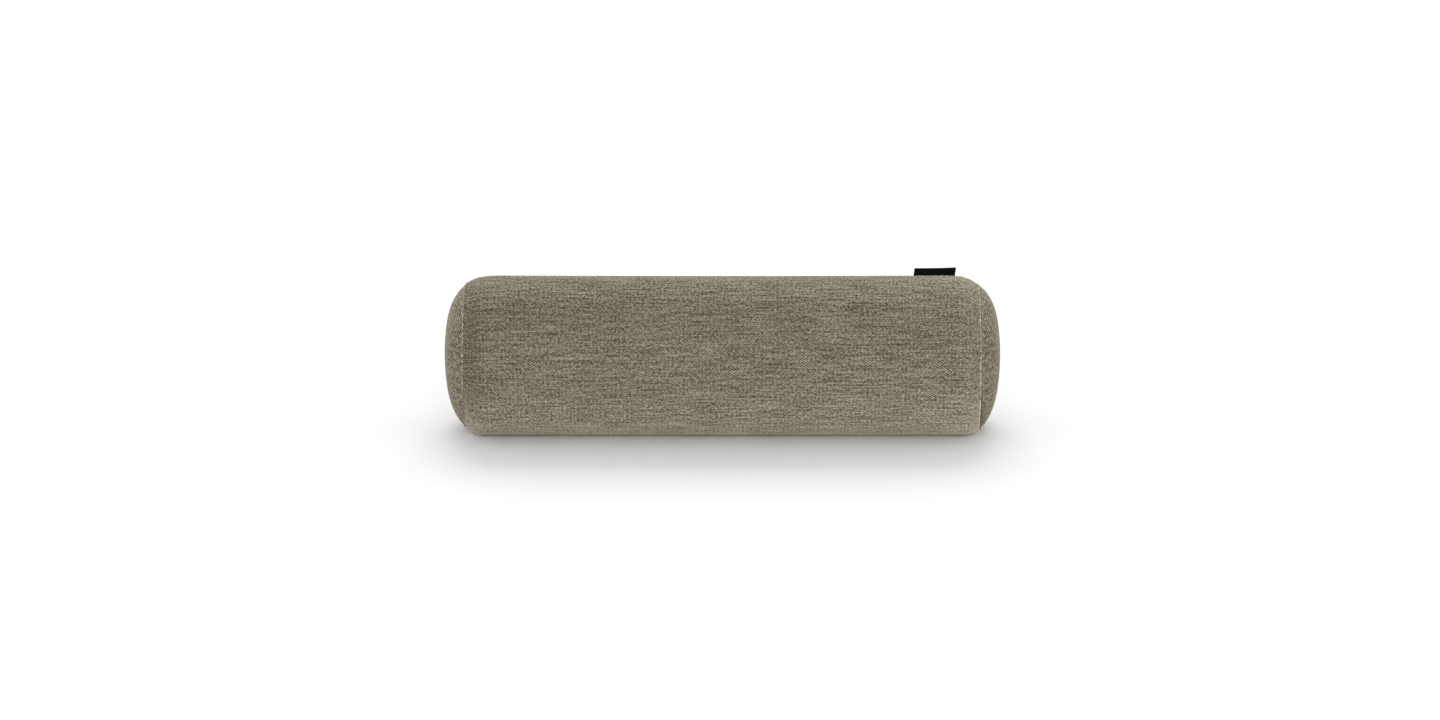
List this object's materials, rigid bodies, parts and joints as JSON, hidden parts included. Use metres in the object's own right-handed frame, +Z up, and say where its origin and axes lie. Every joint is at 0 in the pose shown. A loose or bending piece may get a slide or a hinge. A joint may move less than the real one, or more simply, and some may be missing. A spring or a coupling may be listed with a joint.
{
  "type": "neck roll pillow",
  "caption": "Firm round neck roll pillow in woven chenille: a filled tube drawn in to domed round end panels, with a bare dark tape loop in its long seam. Rests on a seat, sofa or bed.",
  "frame": {"origin": "on the surface the roll rests on, under the middle of the roll", "axes": "+X along the roll, towards the end with the tape loop; +Y from the front to the back; +Z up"},
  "size_m": [0.6, 0.173, 0.1757],
  "materials": {
    "cover_cloth": "short-piled woven chenille, grey taupe, matt with a soft sheen",
    "tab_tape": "closely woven black tape, matt"
  },
  "bodies": {
    "root": {"body_roll": "cover_cloth", "end_panel_left": "cover_cloth", "end_panel_right": "cover_cloth", "seam_tab": "tab_tape"}
  },
  "joints": []
}
